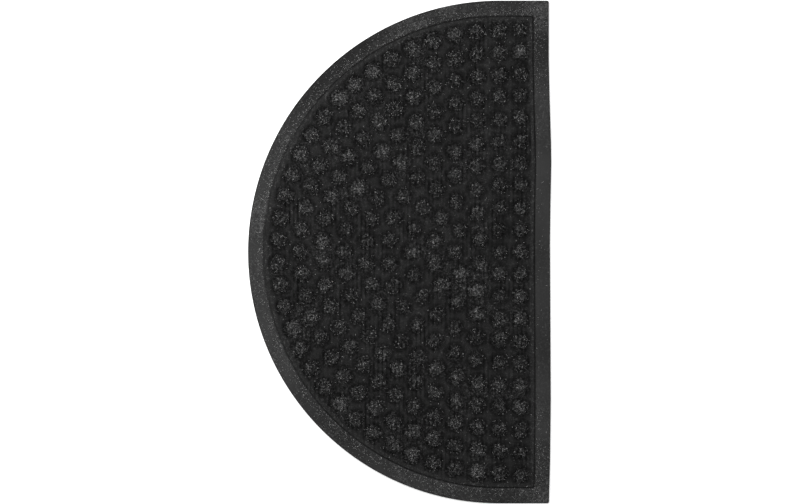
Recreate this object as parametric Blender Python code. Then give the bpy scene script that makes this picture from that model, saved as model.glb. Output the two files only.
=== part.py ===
"""A half-round doormat: one moulded piece of ribbed fibre felt on a thin back.

Metres, +Z up. The mat lies flat on Z = 0 with the middle of its box at the origin.
+Y runs along the straight side, and the straight side faces +X.
"""

import math

import bmesh
import bpy

# Outline. The round side is a half circle, and a straight strip follows it.
LENGTH = 0.762
RADIUS = LENGTH / 2
STRIP = 0.0788
DEPTH = RADIUS + STRIP
CENTRE_X = DEPTH / 2 - STRIP
CORNER = 0.004
ARC_STEPS = 72
CORNER_STEPS = 3

# The straight edge isn't quite straight: how far it falls short of the full depth.
EDGE_WAVE = (
    {"y": 0.377, "dip": 0.0038},
    {"y": 0.290, "dip": 0.0038},
    {"y": 0.228, "dip": 0.0024},
    {"y": 0.168, "dip": 0.0005},
    {"y": 0.137, "dip": 0.0000},
    {"y": 0.076, "dip": 0.0012},
    {"y": 0.015, "dip": 0.0020},
    {"y": -0.073, "dip": 0.0015},
    {"y": -0.225, "dip": 0.0008},
    {"y": -0.318, "dip": 0.0018},
    {"y": -0.377, "dip": 0.0034},
)

# Section of the pressed border, from the cut edge inwards to the field.
SECTION = (
    {"name": "back", "inset": 0.0, "z": 0.0},
    {"name": "cut edge", "inset": 0.0, "z": 0.0044},
    {"name": "border", "inset": 0.0012, "z": 0.0050},
    {"name": "lip foot", "inset": 0.0165, "z": 0.0050},
    {"name": "lip", "inset": 0.0200, "z": 0.0057},
    {"name": "lip end", "inset": 0.0214, "z": 0.0055},
    {"name": "groove", "inset": 0.0224, "z": 0.0040},
    {"name": "groove end", "inset": 0.0240, "z": 0.0040},
    {"name": "field", "inset": 0.0252, "z": 0.0060},
)

# Raised round nubs: half rings about the outline's centre, and one row in the strip.
RINGS = 10
RING_PITCH = 0.0335
NUB_PITCH = 0.034
ROW_OFFSET = 0.032
ROW_PITCH = 0.0338
ROW_NUB = 0.0165
MIDDLE_NUB = 0.0140
OUTER_NUB = 0.0190
NUB_TOP = 0.0092
NUB_ROOT = 0.0048
NUB_DRAFT = 0.0006
NUB_SIDES = 10

FELT_COLOUR = (0.022, 0.022, 0.022, 1.0)
FELT_ROUGHNESS = 0.95


def clear_scene():
    for obj in list(bpy.data.objects):
        bpy.data.objects.remove(obj, do_unlink=True)


def new_collection(name):
    collection = bpy.data.collections.new(name)
    bpy.context.scene.collection.children.link(collection)
    return collection


def new_object(name, bm, collection):
    mesh = bpy.data.meshes.new(name)
    bm.to_mesh(mesh)
    bm.free()
    obj = bpy.data.objects.new(name, mesh)
    collection.objects.link(obj)
    return obj


def arc(centre, radius, start, end, steps):
    """Points of an arc, from one angle to another in radians, both ends included."""
    turns = [start + (end - start) * step / steps for step in range(steps + 1)]
    return [(centre[0] + radius * math.cos(t), centre[1] + radius * math.sin(t)) for t in turns]


def outline(inset):
    """The mat's outline moved inwards by inset, anticlockwise from the lower corner."""
    side = RADIUS - inset
    corner_y = side - CORNER
    reach = RADIUS - CORNER
    quarter = math.pi / 2
    edge = [(DEPTH / 2 - inset - row["dip"], row["y"] * corner_y / reach) for row in EDGE_WAVE]
    edge.reverse()
    low = (edge[0][0] - CORNER, -corner_y)
    high = (edge[-1][0] - CORNER, corner_y)
    points = arc(low, CORNER, -quarter, 0.0, CORNER_STEPS)
    points += edge[1:-1]
    points += arc(high, CORNER, 0.0, quarter, CORNER_STEPS)
    points += arc((CENTRE_X, 0.0), side, quarter, 3 * quarter, ARC_STEPS)
    return points


def sheet_mesh():
    """The felt without its nubs: the border's section carried round the outline."""
    bm = bmesh.new()
    loops = []
    for row in SECTION:
        verts = [bm.verts.new((x, y, row["z"])) for x, y in outline(row["inset"])]
        loops.append(verts)
    for lower, upper in zip(loops, loops[1:]):
        count = len(lower)
        for i in range(count):
            j = (i + 1) % count
            bm.faces.new((lower[i], lower[j], upper[j], upper[i]))
    bm.faces.new(loops[0][::-1])
    bm.faces.new(loops[-1])
    return bm


def nub_places():
    """The place and diameter of every nub, worked out ring by ring from the centre."""
    places = [{"x": CENTRE_X, "y": 0.0, "turn": 0.0, "size": MIDDLE_NUB}]
    for ring in range(1, RINGS + 1):
        radius = ring * RING_PITCH
        size = MIDDLE_NUB + (OUTER_NUB - MIDDLE_NUB) * ring / RINGS
        steps = round(math.pi * radius / NUB_PITCH)
        for step in range(steps + 1):
            turn = math.pi * (0.5 + step / steps)
            x = CENTRE_X + radius * math.cos(turn)
            places.append({"x": x, "y": radius * math.sin(turn), "turn": turn, "size": size})
    for step in range(-RINGS, RINGS + 1):
        row_x = CENTRE_X + ROW_OFFSET
        places.append({"x": row_x, "y": step * ROW_PITCH, "turn": 0.0, "size": ROW_NUB})
    return places


def nub_mesh():
    """Every nub as a low cone with its root below the field."""
    bm = bmesh.new()
    for place in nub_places():
        cone = bmesh.ops.create_cone(
            bm,
            cap_ends=True,
            segments=NUB_SIDES,
            radius1=place["size"] / 2 + NUB_DRAFT,
            radius2=place["size"] / 2 - NUB_DRAFT,
            depth=NUB_TOP - NUB_ROOT,
        )
        middle = (NUB_TOP + NUB_ROOT) / 2
        turned = math.cos(place["turn"]), math.sin(place["turn"])
        for vert in cone["verts"]:
            x = vert.co.x * turned[0] - vert.co.y * turned[1]
            y = vert.co.x * turned[1] + vert.co.y * turned[0]
            vert.co = (place["x"] + x, place["y"] + y, vert.co.z + middle)
    return bm


def felt_material():
    """Charcoal polyester felt, dull and rough."""
    material = bpy.data.materials.new("charcoal_felt")
    material.use_nodes = True
    shader = material.node_tree.nodes["Principled BSDF"]
    shader.inputs["Base Color"].default_value = FELT_COLOUR
    shader.inputs["Roughness"].default_value = FELT_ROUGHNESS
    shader.inputs["Metallic"].default_value = 0.0
    return material


def build_mat(parts, cutters):
    """The mat: the sheet with its nubs joined on, as one solid."""
    mat = new_object("mat", sheet_mesh(), parts)
    mat.data.materials.append(felt_material())
    nubs = new_object("nub_shapes", nub_mesh(), cutters)
    nubs.hide_render = True
    nubs.display_type = "WIRE"
    join = mat.modifiers.new("nubs", "BOOLEAN")
    join.operation = "UNION"
    join.solver = "EXACT"
    join.object = nubs
    return mat


clear_scene()
build_mat(new_collection("doormat"), new_collection("doormat_helpers"))
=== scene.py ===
import math

import bpy
import numpy as np
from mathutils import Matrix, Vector, geometry


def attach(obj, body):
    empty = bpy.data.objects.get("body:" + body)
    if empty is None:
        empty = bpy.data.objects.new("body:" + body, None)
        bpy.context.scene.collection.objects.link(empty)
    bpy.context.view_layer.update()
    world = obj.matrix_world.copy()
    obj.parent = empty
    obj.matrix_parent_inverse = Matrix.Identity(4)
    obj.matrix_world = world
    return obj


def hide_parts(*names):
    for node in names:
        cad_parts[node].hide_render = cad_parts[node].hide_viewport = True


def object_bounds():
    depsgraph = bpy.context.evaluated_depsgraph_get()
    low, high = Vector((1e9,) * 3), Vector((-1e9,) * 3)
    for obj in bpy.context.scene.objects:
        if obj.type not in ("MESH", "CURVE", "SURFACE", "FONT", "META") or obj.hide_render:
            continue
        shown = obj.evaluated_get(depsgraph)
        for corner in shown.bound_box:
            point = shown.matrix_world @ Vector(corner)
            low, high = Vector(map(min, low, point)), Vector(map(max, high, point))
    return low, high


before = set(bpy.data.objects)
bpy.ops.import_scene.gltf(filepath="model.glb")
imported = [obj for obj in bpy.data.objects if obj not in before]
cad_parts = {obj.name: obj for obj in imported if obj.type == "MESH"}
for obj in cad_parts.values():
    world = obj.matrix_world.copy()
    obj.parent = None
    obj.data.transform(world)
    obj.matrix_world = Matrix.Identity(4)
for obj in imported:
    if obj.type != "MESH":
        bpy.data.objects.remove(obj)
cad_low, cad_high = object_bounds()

# The moulded felt. The real mat is one blank of needle-punched polyester fibre on a thin latex
# back, cut half-round and pressed once in a hot mould. The press leaves a flat hard border and a
# groove, and round nubs that stand in rings, each in a ditch, with low islands left between them.

MM = 0.001
RADIUS = cad_high.y
CENTRE_X = cad_low.x + RADIUS
CORNER = 1.8 * MM

# How far the straight edge falls short of the full depth, along the mat.
EDGE_WAVE = (
    {"y": -0.377, "dip": 3.4 * MM},
    {"y": -0.318, "dip": 1.8 * MM},
    {"y": -0.225, "dip": 0.8 * MM},
    {"y": -0.073, "dip": 1.5 * MM},
    {"y": 0.015, "dip": 2.0 * MM},
    {"y": 0.076, "dip": 1.2 * MM},
    {"y": 0.137, "dip": 0.0 * MM},
    {"y": 0.168, "dip": 0.5 * MM},
    {"y": 0.228, "dip": 2.4 * MM},
    {"y": 0.290, "dip": 3.8 * MM},
    {"y": 0.377, "dip": 3.8 * MM},
)
WAVE_Y = [row["y"] for row in EDGE_WAVE]
WAVE_DIP = [row["dip"] for row in EDGE_WAVE]

# Section from the cut edge inwards. The lip is where the press squeezed the felt up a little.
SECTION = (
    {"name": "cut edge", "inset": 0.0 * MM, "z": 4.2 * MM},
    {"name": "edge round", "inset": 0.5 * MM, "z": 4.7 * MM},
    {"name": "border", "inset": 1.4 * MM, "z": 5.0 * MM},
    {"name": "lip foot", "inset": 15.5 * MM, "z": 5.0 * MM},
    {"name": "lip rise", "inset": 18.2 * MM, "z": 5.4 * MM},
    {"name": "lip", "inset": 20.4 * MM, "z": 5.8 * MM},
    {"name": "lip shoulder", "inset": 21.9 * MM, "z": 5.7 * MM},
    {"name": "groove wall", "inset": 22.7 * MM, "z": 5.0 * MM},
    {"name": "groove", "inset": 23.3 * MM, "z": 4.1 * MM},
    {"name": "groove end", "inset": 24.0 * MM, "z": 4.1 * MM},
    {"name": "field wall", "inset": 24.6 * MM, "z": 5.2 * MM},
    {"name": "field", "inset": 25.6 * MM, "z": 6.2 * MM},
)
SECTION_INSET = [row["inset"] for row in SECTION]
SECTION_Z = [row["z"] for row in SECTION]
BORDER_Z = SECTION_Z[2]
FIELD = SECTION_INSET[-1]
FIELD_WALL = 1.5 * MM

# The groove's middle and half width. Opposite the straight side the mould bit less deep, so the
# groove is nearly filled there. Inside it, the field's rim is a lighter ledge.
GROOVE = 23.8 * MM
GROOVE_HALF = 1.1 * MM
GROOVE_FILL = 0.9 * MM
LEDGE = 30.5 * MM
LEDGE_FADE = 2.0 * MM

# The nubs stand in half rings about the outline's centre, and in one row in the straight strip.
RINGS = 10
RING_PITCH = 33.5 * MM
NUB_PITCH = 34.0 * MM
ROW_OFFSET = 32.0 * MM
ROW_PITCH = 33.8 * MM
ROW_NUB = 16.5 * MM
MIDDLE_NUB = 14.0 * MM
OUTER_NUB = 19.0 * MM
NUB_TOP = 9.2 * MM
NUB_CROWN = 0.5 * MM
NUB_WALL = 3.2 * MM
DITCH = 5.2 * MM
DITCH_REACH = 16.8 * MM
DITCH_SLOPE = 2.0 * MM
ISLAND = 6.6 * MM

# Ribs of the punched cloth, straight across the mat beside its straight edge. A ditch keeps less than
# half of their height. Their tone is painted shade in the furrows and painted light on the crests,
# and it shows more in some patches, which are longer along the ribs. The middle is a rib's mean
# height, so that the ribs' painted shading leaves the mean tone as it is.
RIB_PITCH = 6.4 * MM
RIB_HEIGHT = 0.35 * MM
RIB_START = cad_high.x - 28.8 * MM
DITCH_RIBS = 0.45
RIB_MIDDLE = 0.62
RIB_SHOWS = 0.25
RIB_STREAK = 2

# How light the felt is in each place, with painted shade in the ditches and along the groove.
# Opposite the straight side the groove loses most of its painted shade, and all round the painted
# shade is whole in some places and broken in others.
DITCH_PAINTED_SHADE_TONE = 0.31
ISLAND_TONE = 0.62
NUB_TONE = 0.26
LEDGE_TONE = 0.92
RIB_PAINTED_SHADING = 0.42
GROOVE_PAINTED_SHADE = 0.95
GROOVE_SHADE_LOST_OPPOSITE = 0.85
GROOVE_SHADE_WHOLE = 0.65

# How much loose fibre flecks the felt. It thins out from part of a nub's radius to past its wall.
FLECK_START = 0.7
FLECK_REACH = 7.5 * MM
ISLAND_FLECKS = 0.2
LEDGE_FLECKS = 0.3

# How rough the matted surface is, and how much rougher where fibre is loose.
MATTED = 0.7
LOOSE_MATTED = 1.5

# Unevenness of the felt: how much, about how far across its bumps are, and its random seed.
NUB_EDGE = {"amount": 1.9 * MM, "size": 4.3 * MM, "seed": 1}
FINE_NUB_EDGE = {"amount": 1.33 * MM, "size": 2.1 * MM, "seed": 2}
MATTING = {"amount": 0.16 * MM, "size": 2.6 * MM, "seed": 3}
COARSE_MATTING = {"amount": 0.12 * MM, "size": 7.0 * MM, "seed": 4}
BORDER_FACE = {"amount": 0.04 * MM, "size": 5.0 * MM, "seed": 5}
FLECK_PATCHES = {"amount": 0.42, "size": 30.0 * MM, "seed": 6}
FIELD_PATCHES = {"amount": 0.08, "size": 26.0 * MM, "seed": 8}
RIB_PATCHES = {"amount": 1.2, "size": 13.0 * MM, "seed": 12}
GROOVE_PATH = {"amount": 0.4 * MM, "size": 22.0 * MM, "seed": 14}
GROOVE_SHADE_BREAKS = {"amount": 0.5, "size": 28.0 * MM, "seed": 15}
LUMP_GRID = 1024
POINTS_AT_ONCE = 20000


def nub_table():
    """Every nub's place and radius: the middle one, the half rings about it, and the row."""
    nubs = [(CENTRE_X, 0.0, MIDDLE_NUB / 2)]
    for ring in range(1, RINGS + 1):
        out = ring * RING_PITCH
        radius = (MIDDLE_NUB + (OUTER_NUB - MIDDLE_NUB) * ring / RINGS) / 2
        steps = round(math.pi * out / NUB_PITCH)
        for step in range(steps + 1):
            turn = math.pi * (0.5 + step / steps)
            nubs.append((CENTRE_X + out * math.cos(turn), out * math.sin(turn), radius))
    for step in range(-RINGS, RINGS + 1):
        nubs.append((CENTRE_X + ROW_OFFSET, step * ROW_PITCH, ROW_NUB / 2))
    return np.array(nubs)


NUBS = nub_table()


def inset_of(x, y):
    """Distance inwards from the outline, rounded a little where two edges meet."""
    side = RADIUS - np.abs(y)
    edge = cad_high.x - np.interp(y, WAVE_Y, WAVE_DIP) - x
    share = np.clip(0.5 + (edge - side) / (2 * CORNER), 0, 1)
    both = edge * (1 - share) + side * share - CORNER * share * (1 - share)
    return np.where(x < CENTRE_X, RADIUS - np.hypot(x - CENTRE_X, y), both)


def nearest_nub(x, y):
    """Distance from each point to its nearest nub's centre, and that nub's radius."""
    distance = np.empty(len(x))
    radius = np.empty(len(x))
    for start in range(0, len(x), POINTS_AT_ONCE):
        part = slice(start, start + POINTS_AT_ONCE)
        away = np.hypot(x[part, None] - NUBS[:, 0], y[part, None] - NUBS[:, 1])
        best = away.argmin(1)
        distance[part] = away[np.arange(len(best)), best]
        radius[part] = NUBS[best, 2]
    return distance, radius


def ramp(value, start, end):
    """0 before start, 1 after end, and a smooth rise between."""
    t = np.clip((value - start) / (end - start), 0, 1)
    return t * t * (3 - 2 * t)


def lumps(x, y, kind):
    """Smooth random values from minus to plus the kind's amount, with bumps about its size across."""
    grid = np.random.default_rng(kind["seed"]).uniform(-1, 1, (LUMP_GRID, LUMP_GRID))
    column, across = np.divmod(x / kind["size"], 1.0)
    row, down = np.divmod(y / kind["size"], 1.0)
    i, j = column.astype(int) % LUMP_GRID, row.astype(int) % LUMP_GRID
    k, m = (i + 1) % LUMP_GRID, (j + 1) % LUMP_GRID
    u, v = ramp(across, 0, 1), ramp(down, 0, 1)
    near = grid[i, j] * (1 - u) + grid[k, j] * u
    far = grid[i, m] * (1 - u) + grid[k, m] * u
    return kind["amount"] * (near * (1 - v) + far * v)


def felt_form(x, y):
    """Height of the moulded face, its tone from 0 dark to 1 light with painted shade in the ditches,
    the rib furrows and the groove, and its share of loose fibre.
    """
    inset = inset_of(x, y)
    distance, radius = nearest_nub(x, y)
    distance += lumps(x, y, NUB_EDGE) + lumps(x, y, FINE_NUB_EDGE)
    distance = np.maximum(distance, 0)

    # Where each form is, from 0 outside it to 1 on it.
    on_nub = 1 - ramp(distance, radius - NUB_WALL, radius + NUB_WALL)
    on_island = ramp(distance, DITCH_REACH - DITCH_SLOPE, DITCH_REACH + DITCH_SLOPE)
    on_ledge = 1 - ramp(inset, LEDGE - LEDGE_FADE, LEDGE + LEDGE_FADE)
    in_field = ramp(inset, FIELD - FIELD_WALL, FIELD)
    from_groove = np.abs(inset - GROOVE - lumps(x, y, GROOVE_PATH))
    in_groove = 1 - ramp(from_groove, 0, GROOVE_HALF)
    opposite = np.maximum(np.cos(np.arctan2(y, CENTRE_X - x)), 0)
    furrow = 0.5 - 0.5 * np.cos(2 * math.pi * (x - RIB_START) / RIB_PITCH)
    rib = 1 - furrow ** 2

    fleck_fade = ramp(distance, FLECK_START * radius, radius + FLECK_REACH)
    loose = ISLAND_FLECKS + (1 - ISLAND_FLECKS) * (1 - fleck_fade)
    loose += np.maximum(lumps(x, y, FLECK_PATCHES), 0)
    loose = loose * (1 - on_ledge) + LEDGE_FLECKS * on_ledge

    crown = NUB_TOP - NUB_CROWN * np.minimum(distance / radius, 1) ** 2
    field = DITCH + (ISLAND - DITCH) * on_island + (crown - DITCH) * on_nub
    field += RIB_HEIGHT * rib * (DITCH_RIBS + (1 - DITCH_RIBS) * np.maximum(on_nub, on_island))
    matting = lumps(x, y, MATTING) + lumps(x, y, COARSE_MATTING)
    field += matting * (MATTED + LOOSE_MATTED * loose)
    border = np.interp(inset, SECTION_INSET, SECTION_Z) + GROOVE_FILL * opposite * in_groove
    border += lumps(x, y, BORDER_FACE)
    height = border * (1 - in_field) + field * in_field

    # Painted shade: the ditches round the nubs are darker than the islands.
    tone = DITCH_PAINTED_SHADE_TONE + (ISLAND_TONE - DITCH_PAINTED_SHADE_TONE) * on_island + (NUB_TONE - DITCH_PAINTED_SHADE_TONE) * on_nub
    tone += (LEDGE_TONE - tone) * on_ledge
    # Painted shade in the rib furrows and painted light on their crests, stronger in some patches.
    rib_shows = RIB_SHOWS + lumps(x, y / RIB_STREAK, RIB_PATCHES)
    tone += RIB_PAINTED_SHADING * rib_shows * (rib - RIB_MIDDLE) + lumps(x, y, FIELD_PATCHES)
    # Painted shade in the groove, fading opposite the straight side and broken in places.
    groove_shade_broken = GROOVE_SHADE_WHOLE + lumps(x, y, GROOVE_SHADE_BREAKS)
    tone *= 1 - (GROOVE_PAINTED_SHADE - GROOVE_SHADE_LOST_OPPOSITE * opposite) * groove_shade_broken * in_groove
    return height, np.clip(tone, 0, 1), loose


# How far apart the mesh's points are: on the loops round the border, on the rings about each nub,
# and on the rows between them, which follow the ribs and are jittered so that no line shows.
LOOP_STEP = 2.8 * MM
FILL_STEP = 2.3 * MM
ROWS_A_RIB = 4
RIBS_ACROSS = 80
JITTER_X = 0.15 * MM
JITTER_Y = 0.35 * MM
JITTER_SEED = 11
NUB_GAP = 3.6 * MM
FIELD_GAP = 1.2 * MM
NUB_RINGS = (
    {"share": 0.26, "more": 0.0 * MM, "count": 8},
    {"share": 0.52, "more": 0.0 * MM, "count": 15},
    {"share": 0.78, "more": 0.0 * MM, "count": 21},
    {"share": 1.0, "more": -0.8 * MM, "count": 26},
    {"share": 1.0, "more": 0.2 * MM, "count": 28},
    {"share": 1.0, "more": 1.2 * MM, "count": 28},
    {"share": 1.0, "more": 2.3 * MM, "count": 28},
)
EDGE_STOPS = 400
CORNER_STOPS = 12
ARC_STOPS = 800


def outline(inset, spacing):
    """Evenly spaced points on the outline moved inwards by inset, anticlockwise."""
    side = RADIUS - inset
    corner_y = side - CORNER
    along = np.linspace(-corner_y, corner_y, EDGE_STOPS)
    edge_x = cad_high.x - inset - np.interp(along, WAVE_Y, WAVE_DIP)
    quarter = np.linspace(0, math.pi / 2, CORNER_STOPS)
    half = np.linspace(math.pi / 2, 3 * math.pi / 2, ARC_STOPS)
    low_x, high_x = edge_x[0] - CORNER, edge_x[-1] - CORNER
    x = [low_x + CORNER * np.sin(quarter), edge_x, high_x + CORNER * np.cos(quarter)]
    y = [-corner_y - CORNER * np.cos(quarter), along, corner_y + CORNER * np.sin(quarter)]
    x = np.concatenate(x + [CENTRE_X + side * np.cos(half)])
    y = np.concatenate(y + [side * np.sin(half)])
    x, y = np.append(x, x[0]), np.append(y, y[0])
    travelled = np.concatenate([[0], np.cumsum(np.hypot(np.diff(x), np.diff(y)))])
    count = round(travelled[-1] / spacing)
    stops = np.linspace(0, travelled[-1], count, endpoint=False)
    return np.stack([np.interp(stops, travelled, x), np.interp(stops, travelled, y)], 1)


def face_points():
    """The rim of the mat's face, and the points in it: border loops, nub rings and rows between."""
    rng = np.random.default_rng(JITTER_SEED)
    loops = [outline(0.0, LOOP_STEP)]
    for near, far in zip(SECTION_INSET, SECTION_INSET[1:]):
        steps = math.ceil((far - near) / LOOP_STEP)
        for step in range(1, steps + 1):
            loops.append(outline(near + (far - near) * step / steps, LOOP_STEP))
    rings = [NUBS[:, :2]]
    for row in NUB_RINGS:
        turns = np.arange(row["count"]) * 2 * math.pi / row["count"]
        out = NUBS[:, 2] * row["share"] + row["more"]
        turns = turns[None, :] + rng.uniform(0, 1, len(NUBS))[:, None]
        x = NUBS[:, :1] + out[:, None] * np.cos(turns)
        y = NUBS[:, 1:2] + out[:, None] * np.sin(turns)
        rings.append(np.stack([x.ravel(), y.ravel()], 1))
    x, y = np.meshgrid(
        np.arange(RIB_START - RIBS_ACROSS * RIB_PITCH, cad_high.x, RIB_PITCH / ROWS_A_RIB),
        np.arange(cad_low.y, cad_high.y, FILL_STEP),
    )
    x = x.ravel() + rng.normal(0, JITTER_X, x.size)
    y = y.ravel() + rng.normal(0, JITTER_Y, y.size)
    distance, radius = nearest_nub(x, y)
    rows = (distance > radius + NUB_GAP) & (inset_of(x, y) > FIELD + FIELD_GAP)
    return loops[0], np.concatenate(loops[1:] + rings + [np.stack([x[rows], y[rows]], 1)])


# What Blender's fill is told: to fill the whole hull, and to merge points that are this close.
WHOLE_HULL = 0
MERGE_WITHIN = 1e-7


def triangles_in(rim, inner):
    """Triangles that fill the rim and meet every inner point, and those points."""
    points = np.concatenate([rim, inner])
    edges = [(i, (i + 1) % len(rim)) for i in range(len(rim))]
    found = geometry.delaunay_2d_cdt(points.tolist(), edges, [], WHOLE_HULL, MERGE_WITHIN, False)
    # A triangle between rim points alone lies outside the wavy edge, so it is left out.
    faces = [list(face) for face in found[2] if max(face) >= len(rim)]
    return np.array(found[0]), faces


def band(low, high):
    """Quads between two rows of rim points, given by the number of each row's first point."""
    count = len(rim)
    return [[low + i, low + (i + 1) % count, high + (i + 1) % count, high + i] for i in range(count)]


# The face, the cut edge in two halves, felt above and back below, and the flat underside, which
# needs only one point for every forty on the face.
BACK_THICK = 1.4 * MM
UNDER_INSET = 0.5 * MM
UNDER_THINNING = 40
rim, inner = face_points()
face_xy, face_triangles = triangles_in(rim, inner)
under_inner = np.concatenate([outline(UNDER_INSET, LOOP_STEP), inner[::UNDER_THINNING]])
under_xy, under_triangles = triangles_in(rim, under_inner)
face_x, face_y = face_xy[:, 0], face_xy[:, 1]
face_z, face_tone_and_painted_shade, face_loose = felt_form(face_x, face_y)
top = np.column_stack([face_xy, face_z])
seam = np.column_stack([rim, np.full(len(rim), BACK_THICK)])
under = np.column_stack([under_xy, np.zeros(len(under_xy))])
seam_at, under_at = len(top), len(top) + len(seam)
side_faces = band(seam_at, 0) + band(under_at, seam_at)
under_faces = [[under_at + i for i in reversed(face)] for face in under_triangles]
felt_mesh = bpy.data.meshes.new("felt_mat")
felt_mesh.from_pydata(
    np.concatenate([top, seam, under]).tolist(),
    [],
    face_triangles + side_faces + under_faces,
)
felt = bpy.data.objects.new("felt_mat", felt_mesh)
bpy.context.scene.collection.objects.link(felt)


def paint(mesh, name, values):
    """Stores one number for each point of a mesh, for its material. Points left out get 0."""
    values = np.append(values, np.zeros(len(mesh.vertices) - len(values)))
    mesh.attributes.new(name, "FLOAT", "POINT").data.foreach_set("value", values.astype(np.float32))


# Faces outside the groove are the pressed border, and the lower half of the cut edge is the back.
OPEN, PRESSED, BACK = range(3)
centres = face_xy[np.array(face_triangles)].mean(1)
face_finish = np.where(inset_of(centres[:, 0], centres[:, 1]) < GROOVE, PRESSED, OPEN)
edge_finish = np.full(len(rim), PRESSED)
back_finish = np.full(len(rim) + len(under_faces), BACK)
finish = np.concatenate([face_finish, edge_finish, back_finish])
felt_mesh.polygons.foreach_set("material_index", finish.astype(np.int32))

# On the pressed border the loose fibre lies in patches. There is least about the middle of the
# straight side, where the mould was hottest, and most at the two corners. The first pair says
# from where to where the heat fades, and the second how far along the mat the corners begin.
HEAT_FADES = (0.19, 0.36)
CORNERS_BEGIN = (0.27, 0.37)
HOT_FLECKS = 0.25
COOL_FLECKS = 0.18
CORNER_FLECKS = 0.35
BORDER_PATCHES = {"amount": 0.9, "size": 34.0 * MM, "seed": 10}
face_inset = inset_of(face_x, face_y)
from_hottest = np.hypot(face_x - cad_high.x, face_y)
border_loose = HOT_FLECKS + COOL_FLECKS * ramp(from_hottest, *HEAT_FADES)
border_loose += CORNER_FLECKS * ramp(np.abs(face_y), *CORNERS_BEGIN)
border_loose *= 1 + lumps(face_x, face_y, BORDER_PATCHES)

# The pressed border's sheen is painted into its colour. The painted sheen rises and falls round the
# arc with the slant at which the ribs cross it and is darker towards the top of the arc, the lip has
# a painted highlight, the groove side and the cut edge have painted shade, and the tone is uneven
# besides. Each pair says from where to where such a change runs.
SHEEN = 0.58
ARC_SHEEN = 0.02
SLANT_SHEEN = 0.24
SLANT_TURNS = 3.7
END_SHEEN = 0.12
LIP_SHEEN = 0.08
EDGE_SHEEN = 0.4
ARC_BEGINS = (-20 * MM, 60 * MM)
LIP_BEGINS = (14 * MM, 20 * MM)
DARK_BY_GROOVE = (0.1 * MM, 1.0 * MM)
DARK_BY_EDGE = (0, 2 * MM)
WIDE_SHEEN = {"amount": 0.33, "size": 80.0 * MM, "seed": 78}
MIDDLING_SHEEN = {"amount": 0.17, "size": 70.0 * MM, "seed": 3582}
FINE_SHEEN = {"amount": 0.06, "size": 17.0 * MM, "seed": 9}
slant = np.arctan2(face_y, CENTRE_X - face_x)
arc_sheen = ARC_SHEEN + SLANT_SHEEN * np.cos(SLANT_TURNS * slant) - END_SHEEN * np.sin(slant)
border_painted_sheen = SHEEN + arc_sheen * ramp(CENTRE_X - face_x, *ARC_BEGINS)
border_painted_sheen += lumps(face_x, face_y, WIDE_SHEEN) + lumps(face_x, face_y, FINE_SHEEN)
border_painted_sheen += lumps(face_x, face_y, MIDDLING_SHEEN)
border_painted_sheen += LIP_SHEEN * ramp(face_inset, *LIP_BEGINS)
border_painted_sheen *= EDGE_SHEEN + (1 - EDGE_SHEEN) * ramp(GROOVE - face_inset, *DARK_BY_GROOVE)
border_painted_sheen *= EDGE_SHEEN + (1 - EDGE_SHEEN) * ramp(face_inset, *DARK_BY_EDGE)

# The tone carries painted shade in the ditches, the rib furrows and the groove.
paint(felt_mesh, "tone", face_tone_and_painted_shade)
paint(felt_mesh, "loose", np.where(face_inset < GROOVE, border_loose, face_loose))
# The border's painted sheen, with its painted highlight and painted shade, is stored for its colour.
paint(felt_mesh, "border_painted_sheen", border_painted_sheen)


def linear(code):
    """A colour such as #2a2a2a as linear red, green, blue and alpha."""
    parts = [int(code[i:i + 2], 16) / 255 for i in (1, 3, 5)]
    return [p / 12.92 if p <= 0.04045 else ((p + 0.055) / 1.055) ** 2.4 for p in parts] + [1.0]


def add(tree, kind, inputs, **settings):
    """Adds a node with its settings. An input is a value, or another node's output."""
    made = tree.nodes.new(kind)
    for name, value in settings.items():
        setattr(made, name, value)
    for name, value in inputs.items():
        if isinstance(value, bpy.types.NodeSocket):
            tree.links.new(value, made.inputs[name])
        else:
            made.inputs[name].default_value = value
    return made


def new_material(name, roughness, specular):
    """A material of this roughness and specular level, with its tree and its Principled shader."""
    material = bpy.data.materials.new(name)
    material.use_nodes = True
    tree = material.node_tree
    tree.nodes.clear()
    shader = add(
        tree, "ShaderNodeBsdfPrincipled", {"Roughness": roughness, "Specular IOR Level": specular}
    )
    add(tree, "ShaderNodeOutputMaterial", {"Surface": shader.outputs["BSDF"]})
    return material, tree, shader


# A Mix node's two colour inputs and its colour output.
MIX_A = 6
MIX_B = 7
MIX_OUT = 2


def painted_mix(tree, name, dark, light):
    """A colour from dark to light, by the numbers that paint stored under this name."""
    share = add(tree, "ShaderNodeAttribute", {}, attribute_name=name).outputs["Fac"]
    mix = add(
        tree,
        "ShaderNodeMix",
        {"Factor": share, MIX_A: linear(dark), MIX_B: linear(light)},
        data_type="RGBA",
    )
    return mix.outputs[MIX_OUT]


# Punched fibre mats into tufts about a millimetre across, drawn a little coarser so that they
# show, with frayed outlines. A tuft is light where its own tone and a share of its clump's come
# to more than it needs, and it needs less where fibre is loose.
TUFT = 1.4 * MM
FRAY = 6.0
CLUMP = 3.4 * TUFT
CLUMP_SHARE = 0.4
TUFTS_NEED = 1.2
LOOSE_HELPS = 0.5


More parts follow.
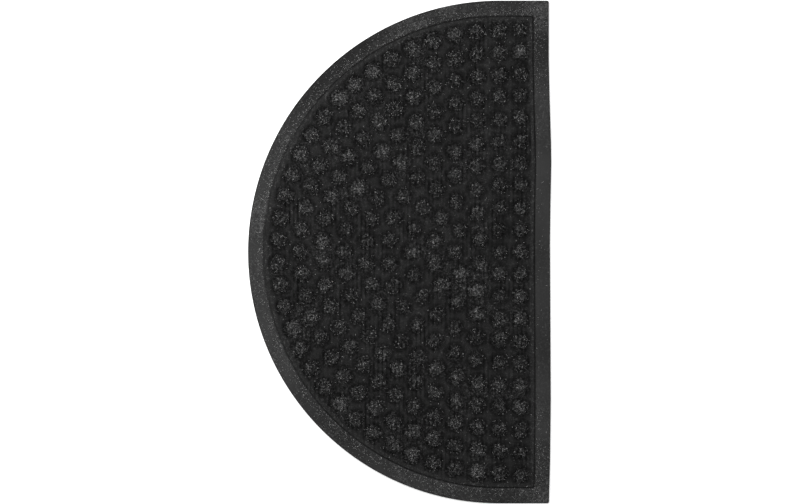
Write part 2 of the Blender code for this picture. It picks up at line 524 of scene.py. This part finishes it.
def flecked(tree, place, base, strength):
    """A base colour with light and dark tufts on it, fewer and fainter where less fibre is loose."""
    loose = add(tree, "ShaderNodeAttribute", {}, attribute_name="loose").outputs["Fac"]
    fray = add(
        tree,
        "ShaderNodeTexNoise",
        {"Vector": place, "Scale": 1 / (2 * TUFT), "Detail": 3.0, "Roughness": 1.0},
    ).outputs["Color"]
    shift = add(tree, "ShaderNodeVectorMath", {0: fray, "Scale": FRAY * TUFT}, operation="SCALE")
    tangled = add(tree, "ShaderNodeVectorMath", {0: place, 1: shift.outputs[0]}, operation="ADD")
    tuft = add(tree, "ShaderNodeTexVoronoi", {"Vector": tangled.outputs[0], "Scale": 1 / TUFT})
    tone = add(tree, "ShaderNodeSeparateColor", {"Color": tuft.outputs["Color"]}).outputs[0]
    clump = add(tree, "ShaderNodeTexNoise", {"Vector": place, "Scale": 1 / CLUMP, "Detail": 1.0})
    relief = add(
        tree,
        "ShaderNodeMath",
        {0: clump.outputs["Fac"], 1: CLUMP_SHARE, 2: tone},
        operation="MULTIPLY_ADD",
    ).outputs[0]
    needed = add(
        tree, "ShaderNodeMath", {0: loose, 1: -LOOSE_HELPS, 2: TUFTS_NEED}, operation="MULTIPLY_ADD"
    ).outputs[0]
    over = add(tree, "ShaderNodeMath", {0: relief, 1: needed}, operation="SUBTRACT").outputs[0]
    least = add(
        tree, "ShaderNodeMath", {0: loose, 1: -LOOSE_HELPS}, operation="MULTIPLY"
    ).outputs[0]
    amount = add(tree, "ShaderNodeMath", {0: over, 1: least}, operation="MAXIMUM").outputs[0]
    light = add(tree, "ShaderNodeMath", {0: strength, 1: amount}, operation="POWER").outputs[0]
    colour = add(tree, "ShaderNodeVectorMath", {0: base, "Scale": light}, operation="SCALE")
    return colour.outputs[0], relief


# Open needle-punched polyester: dull, fuzzy and full of holes, so it drinks the light. Its colour is
# darkest in the ditches, where painted shade darkens the recesses, carries painted shade in the rib
# furrows and the groove as well, and is greyer where the fibres stand loose. Its single fibres are
# about 0.05 mm thick, too fine to show, so their grain is drawn about ten times as coarse. The
# grain's range maps its noise to how light the felt is, and its low end is black.
TUFT_STRENGTH = 68.0
FIBRE_GRAIN = 0.55 * MM
GRAIN_RANGE = {"From Min": 0.28, "From Max": 1.0, "To Min": 0.0, "To Max": 3.44}
open_felt, tree, shader = new_material("needle_punched_polyester", roughness=0.95, specular=0.01)
place = add(tree, "ShaderNodeTexCoord", {}).outputs["Object"]
felt_base = painted_mix(tree, "tone", dark="#0f0f0f", light="#343434")
felt_colour, felt_relief = flecked(tree, place, felt_base, TUFT_STRENGTH)
grain = add(
    tree,
    "ShaderNodeTexNoise",
    {"Vector": place, "Scale": 1 / FIBRE_GRAIN, "Detail": 3.0, "Distortion": 4.0},
).outputs["Fac"]
tuft_bump = add(
    tree, "ShaderNodeBump", {"Height": felt_relief, "Strength": 0.5, "Distance": 0.5 * MM}
)
fibre_bump = add(
    tree,
    "ShaderNodeBump",
    {"Height": grain, "Strength": 0.8, "Distance": 0.4 * MM, "Normal": tuft_bump.outputs[0]},
)
mottle = add(tree, "ShaderNodeMapRange", {"Value": grain, **GRAIN_RANGE}).outputs[0]
mottled = add(tree, "ShaderNodeVectorMath", {0: felt_colour, "Scale": mottle}, operation="SCALE")
tree.links.new(mottled.outputs[0], shader.inputs["Base Color"])
tree.links.new(fibre_bump.outputs[0], shader.inputs["Normal"])

# The border is the same fibre pressed hard and half melted: flat, closed and slightly shiny,
# with a few loose fibres ironed into it, so its tufts are fainter.
PRESSED_STRENGTH = 11.0
pressed_felt, tree, shader = new_material("hot_pressed_polyester", roughness=0.6, specular=0.1)
place = add(tree, "ShaderNodeTexCoord", {}).outputs["Object"]
# Its colour is the painted sheen, with a painted highlight on the lip and painted shade along its
# edges.
border_base = painted_mix(tree, "border_painted_sheen", dark="#151515", light="#353535")
border_colour, border_relief = flecked(tree, place, border_base, PRESSED_STRENGTH)
border_bump = add(
    tree, "ShaderNodeBump", {"Height": border_relief, "Strength": 0.3, "Distance": 0.1 * MM}
)
tree.links.new(border_colour, shader.inputs["Base Color"])
tree.links.new(border_bump.outputs[0], shader.inputs["Normal"])

# The back is a thin brushed-on latex coat: black and dull, with the brush's even stipple.
STIPPLE = 1.6 * MM
latex_back, tree, shader = new_material("brushed_latex", roughness=0.8, specular=0.35)
place = add(tree, "ShaderNodeTexCoord", {}).outputs["Object"]
stipple = add(
    tree, "ShaderNodeTexVoronoi", {"Vector": place, "Scale": 1 / STIPPLE}
).outputs["Distance"]
stipple_bump = add(
    tree, "ShaderNodeBump", {"Height": stipple, "Strength": 0.4, "Distance": 0.3 * MM}
)
tree.links.new(stipple_bump.outputs[0], shader.inputs["Normal"])
shader.inputs["Base Color"].default_value = linear("#191919")

for material in (open_felt, pressed_felt, latex_back):
    felt_mesh.materials.append(material)
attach(felt, "root")
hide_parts("mat")

# The pile. Loose ends of the punched fibre stand on the nubs and islands and catch the light as
# pale curly strands, and fewer lie in the ditches. Real fibres are about 0.05 mm thick, too fine
# to show, so each strand here is a small bundle, drawn four to nine times as thick.

STRANDS_A_PIECE = 15500
BORDER_STRANDS = 9000

# Each kind's least and greatest length, width and lift off the felt, and the contrast between
# its dark and its pale ones.
NUB_STRAND = {
    "length": (1.5 * MM, 3.4 * MM),
    "width": (0.22 * MM, 0.44 * MM),
    "lift": (0.05 * MM, 0.6 * MM),
    "contrast": 1.0,
}
FIELD_STRAND = {
    "length": (1.5 * MM, 3.4 * MM),
    "width": (0.2 * MM, 0.38 * MM),
    "lift": (0.02 * MM, 0.35 * MM),
    "contrast": 1.0,
}
BORDER_STRAND = {
    "length": (1.4 * MM, 3.2 * MM),
    "width": (0.2 * MM, 0.36 * MM),
    "lift": (0.0 * MM, 0.04 * MM),
    "contrast": 0.8,
}

# The share of pale strands in each piece, and the tones between which no strand lies.
INNER_PALE = 0.12
OUTER_PALE = 0.19
FIELD_PALE = 0.25
BORDER_PALE = 0.32
DARK_MOST = 0.03
PALE_LEAST = 0.1

# Where a strand's points are along it, in lengths, and where its three corners are about its
# middle, in widths. It curls by about this many radians, and bridges dips deeper than its sag.
ALONG = np.array((-0.5, -0.17, 0.17, 0.5))
STRAND_CORNERS = (
    {"side": 0.5, "up": -0.29},
    {"side": -0.5, "up": -0.29},
    {"side": 0.0, "up": 0.58},
)
CURL = 0.9
SAG = 0.6 * MM
UNEVEN_LIFT = (0.5, 1.2)
TIP_FACES = np.array(
    [(0, 1 + i, 1 + (i + 1) % 3) for i in range(3)] + [(7, 4 + (i + 1) % 3, 4 + i) for i in range(3)]
)
SIDE_FACES = np.array([(1 + i, 4 + i, 4 + (i + 1) % 3, 1 + (i + 1) % 3) for i in range(3)])
STRAND_POINTS = 8

# Loose polyester fibre: dyed charcoal with some paler grey fibres in the blend, crimped and dull.
fibre, tree, shader = new_material("loose_polyester_fibre", roughness=0.7, specular=0.02)
fibre_colour = painted_mix(tree, "shade", dark="#0b0b0b", light="#e0e0e0")
tree.links.new(fibre_colour, shader.inputs["Base Color"])


def tones(rng, count, pale):
    """Each strand's tone, from 0 dark to 1 pale. A share of them is pale, and few are very pale."""
    dark = rng.uniform(0, DARK_MOST, count)
    light = PALE_LEAST + (1 - PALE_LEAST) * rng.uniform(0, 1, count) ** 2
    return np.where(rng.uniform(0, 1, count) < pale, light, dark)


def strands(name, x, y, kind, pale, rng, seed):
    """Closed strands that lie on the felt, each with two tips and two rings of three points."""
    count = len(x)
    length = rng.uniform(*kind["length"], count)
    width = rng.uniform(*kind["width"], count)
    lift = rng.uniform(*kind["lift"], count)
    shade = tones(rng, count, pale) ** kind["contrast"]
    rng = np.random.default_rng(seed)
    curl = rng.normal(0, CURL, count)[:, None] * ALONG
    turn = rng.uniform(0, 2 * math.pi, count)[:, None] + curl
    px = x[:, None] + length[:, None] * ALONG * np.cos(turn)
    py = y[:, None] + length[:, None] * ALONG * np.sin(turn)
    ground = felt_form(px.ravel(), py.ravel())[0].reshape(px.shape)
    rise = np.stack([-width, lift, lift * rng.uniform(*UNEVEN_LIFT, count), -width], 1)
    pz = np.maximum(ground, ground.mean(1)[:, None] - SAG) + rise
    corners = []
    for row in STRAND_CORNERS:
        sx = px - row["side"] * width[:, None] * np.sin(turn)
        sy = py + row["side"] * width[:, None] * np.cos(turn)
        corners.append(np.stack([sx, sy, pz + row["up"] * width[:, None]], 2))
    middle = np.stack([px, py, pz], 2)
    first = [middle[:, 0]] + [c[:, 1] for c in corners]
    points = np.stack(first + [c[:, 2] for c in corners] + [middle[:, 3]], 1)
    starts = np.arange(count)[:, None, None] * STRAND_POINTS
    tips = (TIP_FACES + starts).reshape(-1, 3).tolist()
    sides = (SIDE_FACES + starts).reshape(-1, 4).tolist()
    mesh = bpy.data.meshes.new(name)
    mesh.from_pydata(points.reshape(-1, 3).tolist(), [], tips + sides)
    paint(mesh, "shade", np.repeat(shade, STRAND_POINTS))
    mesh.shade_smooth()
    mesh.materials.append(fibre)
    piece = bpy.data.objects.new(name, mesh)
    bpy.context.scene.collection.objects.link(piece)
    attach(piece, "root")
    return piece


# How far the nubs' pile reaches, in nub radii, and where the outer rings begin.
PILE_REACH = 1.3
OUTER_RINGS = 7.5 * RING_PITCH


def nub_pile(name, nubs, pale, seed):
    """Pile on these nubs, spread by their area. It thins out from the middle to past the wall."""
    rng = np.random.default_rng(seed)
    area = nubs[:, 2] ** 2
    which = nubs[rng.choice(len(nubs), STRANDS_A_PIECE, p=area / area.sum())]
    spread = np.sqrt(1 - (1 - rng.uniform(0, 1, STRANDS_A_PIECE)) ** (2 / 3))
    out = PILE_REACH * which[:, 2] * spread
    turn = rng.uniform(0, 2 * math.pi, STRANDS_A_PIECE)
    x = which[:, 0] + out * np.cos(turn)
    y = which[:, 1] + out * np.sin(turn)
    return strands(name, x, y, NUB_STRAND, pale, rng, seed + 1)


outer = np.hypot(NUBS[:, 0] - CENTRE_X, NUBS[:, 1]) > OUTER_RINGS
pile = [
    nub_pile("inner_nub_pile", NUBS[~outer], INNER_PALE, seed=21),
    nub_pile("outer_nub_pile", NUBS[outer], OUTER_PALE, seed=23),
]

# Between the nubs the strands thin out over this reach to a few on the islands. On the border
# they thin out towards the hottest part of the mould and towards the cut edge, and they gather
# in patches on the lip. The pairs are insets from where to where a change runs.
TRIES_A_STRAND = 30
STRAND_REACH = 8 * MM
ISLAND_STRANDS = 0.1
HOT_STRANDS = 0.1
RIM_STRANDS = 0.4
RIM_FADES = (9 * MM, 18 * MM)
FLAT_STRANDS = 0.6
LIP_STRANDS = {"amount": 1.0, "size": 10.0 * MM, "seed": 16}
LIP_FADES = (18 * MM, 21 * MM)
BORDER_STRETCH = (2 * MM, 22.6 * MM)


def scattered(name, count, chance, kind, pale, seed):
    """A piece of count strands at random places, kept where chance(x, y) allows."""
    rng = np.random.default_rng(seed)
    x = rng.uniform(cad_low.x, cad_high.x, count * TRIES_A_STRAND)
    y = rng.uniform(cad_low.y, cad_high.y, count * TRIES_A_STRAND)
    kept = rng.uniform(0, 1, len(x)) < chance(x, y)
    return strands(name, x[kept][:count], y[kept][:count], kind, pale, rng, seed + 1)


def field_chance(x, y):
    """Chance of a strand between the nubs: most round them, few on the flat islands."""
    distance, radius = nearest_nub(x, y)
    away = ramp(distance, radius, radius + STRAND_REACH)
    chance = ISLAND_STRANDS + (1 - ISLAND_STRANDS) * (1 - away)
    return chance * (distance > radius) * (inset_of(x, y) > FIELD)


def border_chance(x, y):
    """Chance of a strand ironed into the border."""
    inset = inset_of(x, y)
    from_hottest = np.hypot(x - cad_high.x, y)
    chance = HOT_STRANDS + (1 - HOT_STRANDS) * ramp(from_hottest, *HEAT_FADES)
    chance *= RIM_STRANDS + (1 - RIM_STRANDS) * ramp(inset, *RIM_FADES)
    chance *= FLAT_STRANDS + ramp(inset, *LIP_FADES) * np.maximum(lumps(x, y, LIP_STRANDS), 0)
    return chance * (inset > BORDER_STRETCH[0]) * (inset < BORDER_STRETCH[1])


pile += [
    scattered("field_pile", STRANDS_A_PIECE, field_chance, FIELD_STRAND, FIELD_PALE, seed=31),
    scattered("border_fibres", BORDER_STRANDS, border_chance, BORDER_STRAND, BORDER_PALE, seed=41),
]

# The photographer's table: frosted white acrylic, lit a little from below, and wider than any
# view of it.
FLOOR_SIDE = 14.0
FLOOR_DROP = 0.1 * MM
FLOOR_GLOW = 0.35
acrylic, tree, shader = new_material("frosted_white_acrylic", roughness=0.9, specular=0.1)
shader.inputs["Base Color"].default_value = linear("#f4f4f4")
shader.inputs["Emission Color"].default_value = linear("#ffffff")
shader.inputs["Emission Strength"].default_value = FLOOR_GLOW
bpy.ops.mesh.primitive_plane_add(size=FLOOR_SIDE, location=(0, 0, -FLOOR_DROP))
floor = bpy.context.object
floor.name = "floor"
floor.data.materials.append(acrylic)

# The light: a soft box high on the left, a second one farther off on the right, which fills the
# shade, and a white room.
ROOM_LIGHT = 0.5
world = bpy.data.worlds.new("white_room")
bpy.context.scene.world = world
world.use_nodes = True
world.node_tree.nodes["Background"].inputs["Color"].default_value = linear("#ffffff")
world.node_tree.nodes["Background"].inputs["Strength"].default_value = ROOM_LIGHT
SOFT_BOXES = (
    {"name": "soft_box", "place": (-0.45, 0.4, 0.9), "side": 0.9, "power": 14.0},
    {"name": "fill_box", "place": (1.8, -0.4, 0.85), "side": 0.8, "power": 15.0},
)
for row in SOFT_BOXES:
    lamp = bpy.data.lights.new(row["name"], "AREA")
    lamp.shape = "SQUARE"
    lamp.size = row["side"]
    lamp.energy = row["power"]
    box = bpy.data.objects.new(row["name"], lamp)
    bpy.context.scene.collection.objects.link(box)
    box.location = row["place"]
    box.visible_camera = False
    box.rotation_mode = "QUATERNION"
    box.rotation_quaternion = (-Vector(row["place"])).to_track_quat("-Z", "Y")
bpy.context.scene.view_settings.view_transform = "Standard"

# The camera looks straight down, with the mat where it lies in the 800 by 504 photograph.
PHOTO_WIDTH = 800
PIXEL = 1.5151 * MM
SENSOR = 36.0
CAMERA_HEIGHT = 2.5
MIDDLE_X = 0.5 * MM
MIDDLE_Y = 0.0 * MM
camera_data = bpy.data.cameras.new("camera")
camera_data.sensor_width = SENSOR
camera_data.lens = SENSOR * CAMERA_HEIGHT / (PHOTO_WIDTH * PIXEL)
camera = bpy.data.objects.new("camera", camera_data)
bpy.context.scene.collection.objects.link(camera)
camera.location = (MIDDLE_X, MIDDLE_Y, CAMERA_HEIGHT + BORDER_Z)
bpy.context.scene.camera = camera
